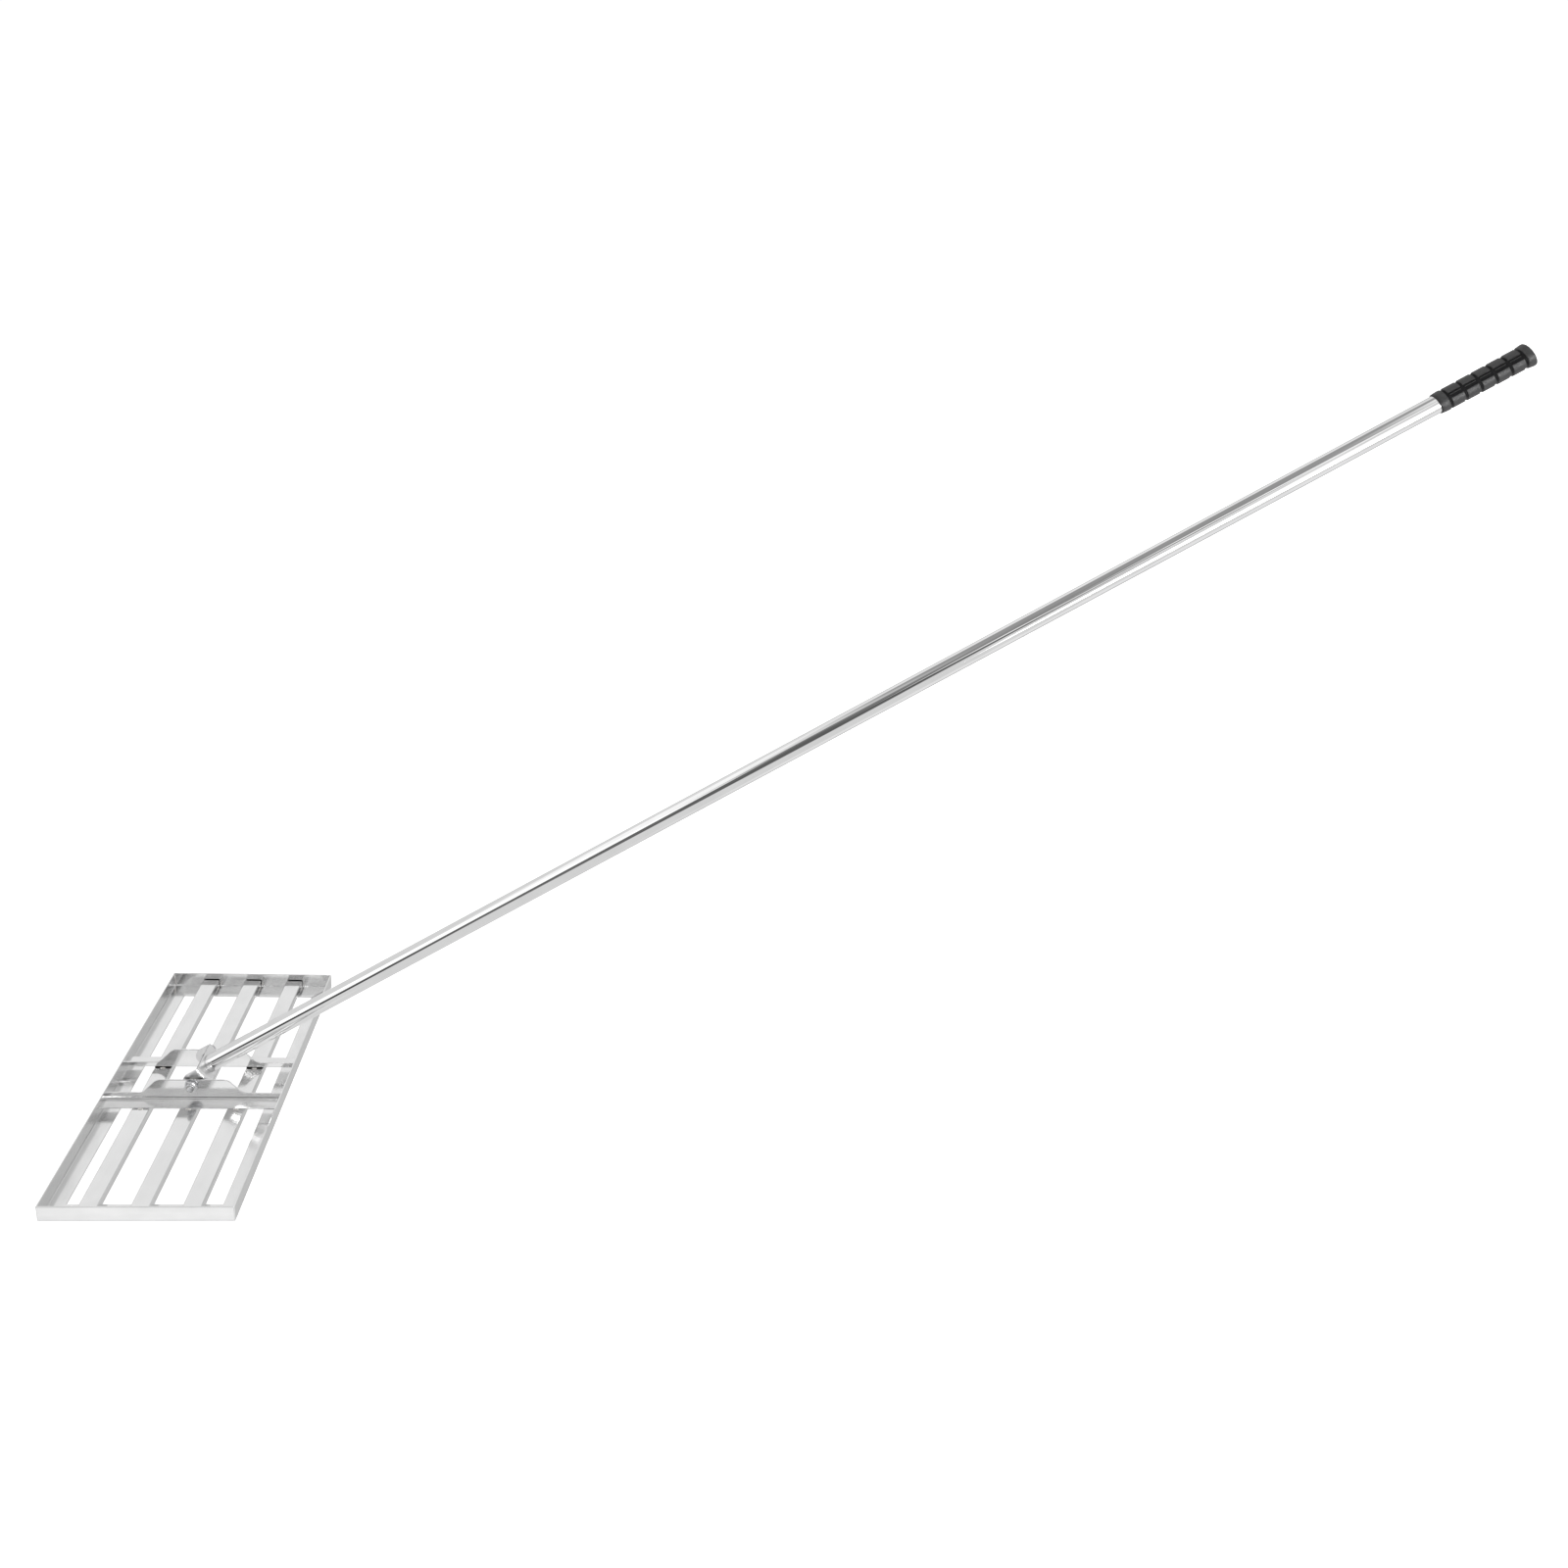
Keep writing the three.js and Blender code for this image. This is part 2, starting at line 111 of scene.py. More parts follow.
FOOT_THREAD_PITCH = 1.25 * MM
FOOT_THREAD_DEPTH = 0.4 * MM
WASHER_EDGE = 0.25 * MM  # rounding
SPACER_EDGE = 0.2 * MM
POLE_SECTIONS = 5
POLE_CLOSING = 0.145 * MM  # added to each section at a joint, so that the seams are hairlines
POLE_EDGE = 0.02 * MM

# ---- mesh tools ----

SAME_POINT = 1e-7  # points nearer to each other than this, in metres, are one point


def arc(u, v, radius, start, end, steps):
    """Points of an arc, from one angle to another in degrees."""
    angles = [math.radians(start + (end - start) * i / steps) for i in range(steps + 1)]
    return [(u + radius * math.cos(a), v + radius * math.sin(a)) for a in angles]


def loft(rings, along=False, caps=True):
    """Closed rings of equal length joined in order; along joins the last ring to the first."""
    mesh = bmesh.new()
    rows = [[mesh.verts.new(p) for p in ring] for ring in rings]
    for a, b in zip(rows, rows[1:] + rows[:1] if along else rows[1:]):
        for i in range(len(a)):
            j = (i + 1) % len(a)
            mesh.faces.new((a[i], a[j], b[j], b[i]))
    if caps and not along:
        mesh.faces.new(rows[0][::-1])
        mesh.faces.new(rows[-1])
    bmesh.ops.remove_doubles(mesh, verts=mesh.verts, dist=SAME_POINT)
    bmesh.ops.dissolve_degenerate(mesh, edges=mesh.edges, dist=SAME_POINT / 10)
    bmesh.ops.recalc_face_normals(mesh, faces=mesh.faces)
    return mesh


def spin(profile, sides, along=False):
    """A turned piece about +Z. A radius or height may be a function of the angle in radians."""
    angles = [2 * math.pi * i / sides for i in range(sides)]

    def ring(radius, height):
        points = []
        for a in angles:
            r = radius(a) if callable(radius) else radius
            z = height(a) if callable(height) else height
            points.append((r * math.cos(a), r * math.sin(a), z))
        return points

    ends_on_axis = profile[0][0] == 0 and profile[-1][0] == 0
    return loft([ring(r, z) for r, z in profile], along=along, caps=not ends_on_axis)


def prism(outline, low, high, axes):
    """The outline pushed from low to high; axes names the outline's two axes, such as 'yz'."""
    first, second = ("xyz".index(a) for a in axes)
    third = 3 - first - second

    def at(p, level):
        point = [0.0, 0.0, 0.0]
        point[first], point[second], point[third] = p[0], p[1], level
        return point

    return loft([[at(p, low) for p in outline], [at(p, high) for p in outline]])


def carve(body, tool, operation="DIFFERENCE"):
    """An exact boolean of two bmeshes."""
    objects = []
    for part in (body, tool):
        mesh = bpy.data.meshes.new("carving")
        part.to_mesh(mesh)
        part.free()
        objects.append(bpy.data.objects.new("carving", mesh))
        bpy.context.scene.collection.objects.link(objects[-1])
    modifier = objects[0].modifiers.new("carve", "BOOLEAN")
    modifier.operation = operation
    modifier.solver = "EXACT"
    modifier.object = objects[1]
    bpy.context.view_layer.update()
    evaluated = objects[0].evaluated_get(bpy.context.evaluated_depsgraph_get())
    result = bmesh.new()
    result.from_mesh(evaluated.to_mesh())
    evaluated.to_mesh_clear()
    for o in objects:
        mesh = o.data
        bpy.data.objects.remove(o)
        bpy.data.meshes.remove(mesh)
    bmesh.ops.remove_doubles(result, verts=result.verts, dist=SAME_POINT)
    return result


def piece(name, mesh, material, body, replaced=(), place=None, sharp=32, edge=0, flat=True):
    """Makes the bmesh a piece of the rake; edge is the rounding of its sharp edges."""
    data = bpy.data.meshes.new(name)
    for face in mesh.faces:
        face.smooth = True
    mesh.to_mesh(data)
    mesh.free()
    data.set_sharp_from_angle(angle=math.radians(sharp))
    data.materials.append(material)
    made = bpy.data.objects.new(name, data)
    bpy.context.scene.collection.objects.link(made)
    made.matrix_world = place or Matrix.Identity(4)
    if edge:
        bevel = made.modifiers.new("rounded_edges", "BEVEL")
        bevel.width = edge
        bevel.segments = 3
        bevel.limit_method = "ANGLE"
        bevel.angle_limit = math.radians(sharp)
        bevel.use_clamp_overlap = True
    if flat:
        normals = made.modifiers.new("flat_faces", "WEIGHTED_NORMAL")
        normals.keep_sharp = not edge
        normals.weight = 100
    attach(made, body)
    if replaced:
        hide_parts(*replaced)
    return made


# ---- materials ----


class Nodes:
    """A node tree, and helpers that add to it."""

    def __init__(self, tree):
        self.tree = tree

    def node(self, kind, **settings):
        made = self.tree.nodes.new(kind)
        for key, value in settings.items():
            setattr(made, key, value)
        return made

    def link(self, start, end):
        self.tree.links.new(start, end)

    def put(self, value, socket):
        """Sets a socket to a number, or links another node's output to it."""
        if isinstance(value, (int, float)):
            socket.default_value = value
        else:
            self.link(value, socket)

    def spread(self, factor, low, high, start=0.3, end=0.7, **settings):
        """Maps a factor's start to end onto low to high."""
        ramp = self.node("ShaderNodeMapRange", **settings)
        for key, value in zip(("From Min", "From Max", "To Min", "To Max"), (start, end, low, high)):
            ramp.inputs[key].default_value = value
        self.link(factor, ramp.inputs["Value"])
        return ramp.outputs["Result"]


class Shader(Nodes):
    """A node material with one Principled shader, and helpers that add to it."""

    def __init__(self, name, color, metallic, roughness, **inputs):
        self.material = bpy.data.materials.new(name)
        self.material.use_nodes = True
        super().__init__(self.material.node_tree)
        self.shader = self.tree.nodes["Principled BSDF"]
        self.shader.inputs["Base Color"].default_value = (*color, 1)
        self.shader.inputs["Metallic"].default_value = metallic
        self.shader.inputs["Roughness"].default_value = roughness
        for socket, value in inputs.items():
            self.shader.inputs[socket.replace("_", " ")].default_value = value
        self.coordinates = self.node("ShaderNodeTexCoord").outputs["Object"]
        self.bump_end = None

    def noise(self, scale, detail=2.0, stretch=(1, 1, 1)):
        """Noise of features 1/scale metres wide, stretched along the axes whose stretch is over 1."""
        mapping = self.node("ShaderNodeMapping")
        mapping.inputs["Scale"].default_value = [scale / s for s in stretch]
        self.link(self.coordinates, mapping.inputs["Vector"])
        texture = self.node("ShaderNodeTexNoise")
        texture.inputs["Scale"].default_value = 1
        texture.inputs["Detail"].default_value = detail
        self.link(mapping.outputs["Vector"], texture.inputs["Vector"])
        return texture.outputs["Fac"]

    def roughness(self, factor, low, high):
        self.link(self.spread(factor, low, high), self.shader.inputs["Roughness"])

    def color(self, factor, dark, light):
        mix = self.node("ShaderNodeMix", data_type="RGBA")
        mix.inputs["A"].default_value = (*dark, 1)
        mix.inputs["B"].default_value = (*light, 1)
        self.link(self.spread(factor, 0, 1), mix.inputs["Factor"])
        self.link(mix.outputs["Result"], self.shader.inputs["Base Color"])

    def bump(self, height, depth):
        """Adds a relief of that depth in metres to the ones before it."""
        made = self.node("ShaderNodeBump")
        made.inputs["Strength"].default_value = 1
        made.inputs["Distance"].default_value = depth
        self.link(height, made.inputs["Height"])
        if self.bump_end:
            self.link(self.bump_end, made.inputs["Normal"])
        self.bump_end = made.outputs["Normal"]
        self.link(self.bump_end, self.shader.inputs["Normal"])


def grey(value):
    return (value, value, value)


def sheet_steel(name, smoothest, roughest, fall=0):
    """Polished stainless sheet: a mirror that is never quite flat, with faint polishing lines.

    A folded sheet's flange runs along the object's X; fall is the slope that it is
    shaded with, away from level."""
    steel = Shader(name, grey(0.86), 1, smoothest)
    steel.color(steel.noise(30, 3), grey(0.83), grey(0.88))
    steel.roughness(steel.noise(90, 4, (1, 12, 1)), smoothest, roughest)
    steel.bump(steel.noise(14, 1), 0.4 * MM)
    if fall:
        split = steel.node("ShaderNodeSeparateXYZ")
        steel.link(steel.coordinates, split.inputs["Vector"])
        slope = steel.node("ShaderNodeMath", operation="MULTIPLY")
        steel.link(split.outputs["X"], slope.inputs[0])
        slope.inputs[1].default_value = -fall
        steel.bump(slope.outputs[0], 1)
    steel.bump(steel.noise(2600, 2, (1, 60, 1)), 0.0004 * MM)
    return steel.material


def pole_steel():
    """Mirror-polished tube, with polishing lines round it and faint smudges."""
    steel = Shader("polished_tube", grey(0.88), 1, 0.05)
    steel.color(steel.noise(20, 3), grey(0.85), grey(0.9))
    steel.roughness(steel.noise(60, 4, (1, 1, 6)), 0.03, 0.07)
    steel.bump(steel.noise(1800, 2, (20, 20, 1)), 0.0003 * MM)
    return steel.material


def fastener_steel():
    """Bright zinc plating, a little cloudy."""
    steel = Shader("zinc_plating", grey(0.66), 1, 0.25)
    steel.color(steel.noise(300, 4), (0.58, 0.59, 0.61), (0.74, 0.74, 0.74))
    steel.roughness(steel.noise(700, 4), 0.18, 0.32)
    steel.bump(steel.noise(900, 3), 0.004 * MM)
    return steel.material


def weld_steel():
    """Bare weld metal: rippled, dull beside the sheet, faintly straw-coloured."""
    steel = Shader("weld_metal", (0.8, 0.79, 0.77), 1, 0.3)
    steel.color(steel.noise(500, 3), (0.7, 0.67, 0.63), (0.88, 0.87, 0.86))
    steel.roughness(steel.noise(1200, 3), 0.2, 0.42)
    steel.bump(steel.noise(1500, 3), 0.03 * MM)
    return steel.material


def gap_shade_material():
    """Painted shade for the gap under a fold: nearly black and dull."""
    dark_filler = Shader("painted_gap_shade", grey(0.02), 0.4, 0.7)
    dark_filler.color(dark_filler.noise(800, 4), grey(0.012), (0.035, 0.03, 0.028))
    dark_filler.roughness(dark_filler.noise(900, 3), 0.55, 0.85)
    dark_filler.bump(dark_filler.noise(1600, 4), 0.05 * MM)
    return dark_filler.material


def nylon(name, color):
    """Moulded nylon with a fine satin grain."""
    plastic = Shader(name, color, 0, 0.45, IOR=1.53)
    plastic.color(plastic.noise(400, 3), [c * 0.85 for c in color], [c * 1.15 for c in color])
    plastic.roughness(plastic.noise(900, 3), 0.38, 0.52)
    plastic.bump(plastic.noise(2500, 3), 0.006 * MM)
    return plastic.material


def grip_rubber():
    """Charcoal rubber: satin and finely mottled on the raised pads; its specular is turned down towards the
    grooves' floor, which paints shade in the grooves.
    """
    rubber = Shader("grip_rubber", grey(0.012), 0, 0.4, IOR=1.55)
    relief = rubber.node("ShaderNodeAttribute", attribute_name="relief").outputs["Fac"]
    rubber.color(rubber.noise(260, 5), grey(0.007), (0.017, 0.017, 0.018))
    # specular level falls from the pads to the grooves' floor: painted shade in the grooves
    groove_shaded_specular = rubber.spread(relief, 0.12, 1.0, 0.15, 0.75)
    rubber.link(groove_shaded_specular, rubber.shader.inputs["Specular IOR Level"])
    rubber.roughness(rubber.noise(500, 4), 0.42, 0.58)
    rubber.bump(rubber.noise(1100, 4), 0.05 * MM)
    rubber.bump(rubber.noise(3500, 2), 0.012 * MM)
    return rubber.material


SLAT_STEEL = sheet_steel("slat_steel", 0.1, 0.17)
FOLDED_STEEL = sheet_steel("folded_steel", 0.14, 0.22, FLANGE_FALL)
FORK_STEEL = sheet_steel("fork_steel", 0.26, 0.38)
POLE_STEEL = pole_steel()
ZINC = fastener_steel()
WELD = weld_steel()
# nearly black, for the painted shade in the gaps under the brackets' folds
GAP_SHADE = gap_shade_material()
NYLON = nylon("natural_nylon", (0.62, 0.62, 0.6))
RUBBER = grip_rubber()

CAD_MATERIALS = {
    "frame_steel": SLAT_STEEL,
    "pole_steel": POLE_STEEL,
    "fastener_steel": ZINC,
    "spacer_plastic": NYLON,
    "grip_rubber": RUBBER,
}
for part in frame["record"]["subparts"]:
    data = frame["nodes"][part["node"]].data
    data.materials.clear()
    data.materials.append(CAD_MATERIALS[part["material_slot"]])

# ---- drag frame ----


def angle_section(flange, height, bend):
    """Folded angle: the wall's outer face is at u = 0 and the flange runs along v = 0."""
    edge = SHEET_EDGE
    return [
        *arc(bend, bend, bend, 180, 270, 10),
        *arc(flange - edge, edge, edge, 270, 360, 3),
        *arc(flange - edge, SHEET - edge, edge, 0, 90, 3),
        *arc(bend, bend, bend - SHEET, 270, 180, 10),
        *arc(SHEET - edge, height - edge, edge, 0, 90, 3),
        *arc(edge, height - edge, edge, 90, 180, 3),
    ]


def rail(name, length, place):
    """A rail with mitred ends, whose upright corners are ground round."""
    section = angle_section(FLANGE, RIM_HIGH.z, RAIL_BEND)
    steps = 5
    turns = [math.radians(45 * i / steps) for i in range(steps + 1)]
    mitre = turns[-1]
    stations = [(-1, t) for t in turns[::-1]] + [(1, t) for t in turns]

    def ring(end, turn):
        back = CORNER_ROUND * (math.sin(mitre) - math.sin(turn))
        depth = CORNER_ROUND * (1 - math.cos(turn))
        last = CORNER_ROUND * (1 - math.cos(mitre))
        return [(max(u, depth), end * (length / 2 - max(u, last) - back), v) for u, v in section]

    mesh = loft([ring(end, turn) for end, turn in stations])
    return piece(name + "_sheet", mesh, FOLDED_STEEL, "drag_frame", [name], place)


def rim():
    width, length = RIM_HIGH.x - RIM_LOW.x, RIM_HIGH.y - RIM_LOW.y
    for name, span, x, y, turn in (
        ("rim_rail_left", length, RIM_LOW.x, RIM_MIDDLE.y, 0),
        ("rim_rail_right", length, RIM_HIGH.x, RIM_MIDDLE.y, 180),
        ("rim_end_front", width, RIM_MIDDLE.x, RIM_LOW.y, 90),
        ("rim_end_rear", width, RIM_MIDDLE.x, RIM_HIGH.y, -90),
    ):
        turned = Matrix.Rotation(math.radians(turn), 4, "Z")
        rail(name, span, Matrix.Translation((x, y, 0)) @ turned)


def rounded_box(low_u, low_v, high_u, high_v, radius, steps=5):
    return [
        *arc(high_u - radius, low_v + radius, radius, -90, 0, steps),
        *arc(high_u - radius, high_v - radius, radius, 0, 90, steps),
        *arc(low_u + radius, high_v - radius, radius, 90, 180, steps),
        *arc(low_u + radius, low_v + radius, radius, 180, 270, steps),
    ]


def slat(node):
    """Rectangular tube with open ends."""
    low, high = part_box(node)
    outer = rounded_box(low.x, low.z, high.x, high.z, SLAT_CORNER)
    wall = SLAT_WALL
    inner = rounded_box(low.x + wall, low.z + wall, high.x - wall, high.z - wall, SHEET_EDGE)
    rings = [
        [(u, low.y, v) for u, v in inner],
        [(u, low.y, v) for u, v in outer],
        [(u, high.y, v) for u, v in outer],
        [(u, high.y, v) for u, v in inner],
    ]
    mesh = loft(rings, along=True)
    return piece(node + "_tube", mesh, SLAT_STEEL, "drag_frame", [node])


def hump():
    """Half a web's top edge, from its end to its middle: [distance from the middle, height]."""
    round_, base, top = HUMP_ROUND, HUMP_HALF_BASE, HUMP_HALF_TOP
    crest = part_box("cross_bracket_front")[1].z
    hollow_centre = WEB_END_HEIGHT + round_
    crest_centre = crest - round_
    across, down = base - top, crest_centre - hollow_centre
    # The hollow's arc and the shoulder's arc turn by the same angle, and a straight flank joins them.
    turn = math.degrees(math.atan2(down, across) + math.acos(2 * round_ / math.hypot(across, down)))
    return [
        (size("cross_bracket_front").x / 2, WEB_END_HEIGHT),
        *arc(base, hollow_centre, round_, 270, 180 + turn, 12),
        *arc(top, crest_centre, round_, turn, 90, 12),
    ]


def beside_fork(node, side):
    """Place on a web's inner face, level with its foot's underside, with X out along the foot."""
    low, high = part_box(node)
    inner = high.y if side < 0 else low.y
    turned = Matrix.Rotation(math.radians(90 * side), 4, "Z")
    return Matrix.Translation((PIVOT.x, inner, low.z)) @ turned


def bracket(node, side):
    """Folded cross bracket: its foot lies on the slats and its upright web rises in a hump."""
    low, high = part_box(node)
    half = hump()
    stations = [(-x, h) for x, h in half] + [(x, h) for x, h in half[::-1]]

    def ring(along, height):
        section = angle_section(high.y - low.y, height - low.z, BRACKET_BEND)
        return [(u, along, v) for u, v in section]

    mesh = loft([ring(x, h) for x, h in stations])
    hole = spin([(BOLT_HOLE, -3 * SHEET), (BOLT_HOLE, 3 * SHEET)], 64)
    bmesh.ops.rotate(hole, verts=hole.verts, matrix=Matrix.Rotation(math.pi / 2, 3, "Y"))
    bmesh.ops.translate(hole, verts=hole.verts, vec=(0, 0, PIVOT.z - low.z))
    mesh = carve(mesh, hole)
    place = beside_fork(node, side)
    return piece(node + "_sheet", mesh, FOLDED_STEEL, "drag_frame", [node], place)


# ---- welds, and painted shade under the brackets' folds ----

BEAD_RIPPLE = 0.14  # share of a bead's radius that its ripples take
BEAD_START = 0.04  # how far along its rounded end a bead is cut off
BEAD_TAPER = 0.45  # the smaller, the blunter a bead's ends
TACK_HALF = 3.5 * MM
TACK_RISE = 0.5 * MM
TACK_RADIUS = 1.3 * MM
SEAM_FACE = 1.1 * MM  # how far a seam's open face stands back from the web's inner face
SEAM_RISE = 0.05 * MM
SEAM_GAP = 0.02 * MM
SEAM_INSET = 0.6 * MM  # from a slat's edges
CORNER_BEAD_RADIUS = 0.9 * MM
CORNER_BEAD_DROP = 1.5 * MM  # below the rim's top edge
SLAT_BEAD_RADIUS = 1 * MM
SLAT_BEAD_LENGTH = 9 * MM


def bead(start, end, radius, ripples):
    """A weld bead from start to end: a row of overlapping ripples, thinner at its two ends."""
    start, end = Vector(start), Vector(end)
    along = (end - start).normalized()
    side = along.orthogonal().normalized()
    other = along.cross(side)
    steps, sides = 6 * ripples, 14
    rings = []
    for i in range(steps + 1):
        t = i / steps
        ripple = 1 - BEAD_RIPPLE + BEAD_RIPPLE * abs(math.cos(math.pi * ripples * t))
        fullness = math.sin(math.pi * (BEAD_START + (1 - 2 * BEAD_START) * t)) ** BEAD_TAPER
        r = radius * ripple * fullness
        centre = start.lerp(end, t)
        angles = [2 * math.pi * k / sides for k in range(sides)]
        rings.append([centre + side * (r * math.cos(a)) + other * (r * math.sin(a)) for a in angles])
    return loft(rings)


def joined(meshes):
    """Several bmeshes as one."""
    whole = bmesh.new()
    for part in meshes:
        data = bpy.data.meshes.new("joining")
        part.to_mesh(data)
        part.free()
        whole.from_mesh(data)
        bpy.data.meshes.remove(data)
    return whole


def bracket_welds(node, name):
    """Tack welds where a bracket's foot and its fold meet each slat."""
    low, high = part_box(node)
    beads = []
    for slat_node in SLATS:
        x = middle(slat_node).x
        for y in (low.y, high.y):
            start, end = ((x + way * TACK_HALF, y, SLAT_TOP + TACK_RISE) for way in (-1, 1))
            beads.append(bead(start, end, TACK_RADIUS, 4))
    return piece(name, joined(beads), WELD, "drag_frame", flat=False)


def bracket_gap_shades(node, side, name):
    """Nearly black wedges between the slats and the bracket's fold, which paint the shade of the gap there."""
    bend = BRACKET_BEND
    start = math.degrees(math.acos(1 - SEAM_FACE / bend))
    wedge = [(SEAM_FACE, SEAM_RISE), (bend, SEAM_RISE)]
    wedge += arc(bend, bend, bend + SEAM_GAP, 270, 180 + start, 8)[1:]
    shade_wedges = []
    for slat_node in SLATS:
        half = size(slat_node).x / 2 - SEAM_INSET
        centre = (PIVOT.x - middle(slat_node).x) * -side
        rings = [[(u, centre + y, v) for u, v in wedge] for y in (-half, half)]
        shade_wedges.append(loft(rings))
    place = beside_fork(node, side)
    return piece(name, joined(shade_wedges), GAP_SHADE, "drag_frame", (), place, flat=False)


def rim_welds():
    """Beads inside the rim's upright corners."""
    inset = SHEET + 0.1 * MM
    beads = []
    for x in (RIM_LOW.x + inset, RIM_HIGH.x - inset):
        for y in (RIM_LOW.y + inset, RIM_HIGH.y - inset):
            top = RIM_HIGH.z - CORNER_BEAD_DROP
            beads.append(bead((x, y, SHEET), (x, y, top), CORNER_BEAD_RADIUS, 12))
    return piece("rim_corner_welds", joined(beads), WELD, "drag_frame", flat=False)


def slat_welds():
    """Short beads that hold the slats' ends on the end flanges."""
    beads = []
    for node in SLATS:
        low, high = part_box(node)
        for x in (low.x, high.x):
            for y, way in ((low.y, 1), (high.y, -1)):
                end = (x, y + way * SLAT_BEAD_LENGTH, SHEET)
                beads.append(bead((x, y, SHEET), end, SLAT_BEAD_RADIUS, 5))
    return piece("slat_end_welds", joined(beads), WELD, "drag_frame", flat=False)


# ---- pivot bolt and what is on it; each piece is made about +Z, and +Z is then laid along -Y ----

ON_BOLT = Matrix.Translation(PIVOT) @ Matrix.Rotation(math.pi / 2, 4, "X")


def on_bolt(node):
    """Where a node on the bolt starts and ends, along -Y from the pivot."""
    low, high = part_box(node)
    return PIVOT.y - high.y, PIVOT.y - low.y


def hexagon(flats, corner_cut=0.985):
    """Radius of a hexagon at an angle, with its corners turned off a little."""
    corner = flats / 2 / math.cos(math.pi / 6)

    def radius(angle):
        from_flat = (angle % (math.pi / 3)) - math.pi / 6
        return min(flats / 2 / math.cos(from_flat), corner * corner_cut)

    return radius


def hex_side(flats, low, high, low_cut, high_cut):
    """Profile of a hexagon's side: cones turn its corners off at the ends that are cut."""
    radius = hexagon(flats)
    face = flats / 2 * 0.96
    slope = math.tan(math.radians(30))
    profile = [(face, low)] if low_cut else []
    profile.append((radius, (lambda a: low + (radius(a) - face) * slope) if low_cut else low))
    profile.append((radius, (lambda a: high - (radius(a) - face) * slope) if high_cut else high))
    if high_cut:
        profile.append((face, high))
    return profile


HEX_SIDES = 96
DISH_FLOOR = 0.36  # radius of a bolt head's dish at its floor, as a share of the flats
DISH_RIM = 0.4


def bolt_head(top, seat, flats, dish):
    """Profile of a hexagon head with a dished top, out from the axis and on to its seat."""
    return [
        (0, top + dish),
        (flats * DISH_FLOOR, top + dish),
        (flats * DISH_RIM, top),
        *hex_side(flats, top, seat, True, False),
    ]


def thread(radius, low, high, pitch=THREAD_PITCH, depth=THREAD_DEPTH):
    """Profile of a threaded stretch, as rings of pitch."""
    count = max(1, int((high - low) / pitch))
    points = []
    for i in range(count):
        z = low + i * pitch
        points += [(radius - depth, z), (radius - 0.1 * depth, z + 0.4 * pitch)]
        points += [(radius - 0.1 * depth, z + 0.6 * pitch), (radius - depth, z + pitch)]
    return points


def pivot_bolt():
    start, end = on_bolt("pivot_bolt")
    seat = on_bolt("pivot_washer_rear")[0]
    flats = min(size("pivot_lock_nut").x, size("pivot_lock_nut").z)
    tip = 0.8 * MM
    thread_start = on_bolt("pivot_washer_front")[1]
    profile = [
        *bolt_head(start, seat, flats, 0.3 * MM),
        (BOLT_RADIUS, seat),
        (BOLT_RADIUS, thread_start),
        *thread(BOLT_RADIUS, thread_start, end - tip),
        (BOLT_RADIUS - THREAD_DEPTH, end - tip),
        (BOLT_RADIUS - THREAD_DEPTH - 0.5 * tip, end),
        (0, end),
    ]
    mesh = spin(profile, HEX_SIDES)
    piece("pivot_bolt_turned", mesh, ZINC, "drag_frame", ["pivot_bolt"], ON_BOLT, 24)


def pivot_lock_nut():
    """Hexagon nut whose round collar holds a plastic insert."""
    start, end = on_bolt("pivot_lock_nut")
    flats = min(size("pivot_lock_nut").x, size("pivot_lock_nut").z)
    hex_end = start + 0.7 * (end - start)
    collar = flats * 0.43
    lip = 0.7 * MM
    bore = BOLT_RADIUS + 0.05 * MM
    insert = collar - 1.3 * MM
    insert_low = end - 1.6 * MM
    insert_high = end - 0.4 * MM
    side = hex_side(flats, start, hex_end, True, True)
    profile = [
        (bore, start),
        *side,
        (collar + 0.4 * MM, hex_end + 0.1 * MM),
        (collar, hex_end + 0.5 * MM),
        (collar, end - lip),
        *[(collar - lip + r, end - lip + z) for r, z in arc(0, 0, lip, 0, 90, 5)[1:]],
        (insert, end),
        (insert, insert_low),
        (bore, insert_low),
    ]
    mesh = spin(profile, HEX_SIDES, along=True)
    nut = ["pivot_lock_nut"]
    piece("pivot_lock_nut_turned", mesh, ZINC, "drag_frame", nut, ON_BOLT, 24)
    ring = [(bore, insert_low), (insert, insert_low), (insert, insert_high), (bore, insert_high)]
    insert_mesh = spin(ring, 64, along=True)
    piece("lock_nut_insert", insert_mesh, NYLON, "drag_frame", (), ON_BOLT)


def plain_ring(node, suffix, inner, rounding, material, body, place, ends, outer):
    """A washer or spacer with rounded edges."""
    profile = rounded_box(inner, ends[0], outer, ends[1], rounding, 3)
    mesh = spin(profile, 72, along=True)
    return piece(node + suffix, mesh, material, body, [node], place, 40)


def washers():
    """On each side of the fork, a steel washer outside the web and a plastic spacer inside it."""
    for end in ("front", "rear"):
        for kind, suffix, rounding, material, slot in (
            ("pivot_washer_", "_turned", WASHER_EDGE, ZINC, "fastener_steel"),
            ("pivot_spacer_", "_moulded", SPACER_EDGE, NYLON, "spacer_plastic"),
        ):
            node = kind + end
            plain_ring(node, suffix, BOLT_HOLE, rounding, material, "drag_frame",
                       ON_BOLT, on_bolt(node), size(node).x / 2)


# ---- handle ----


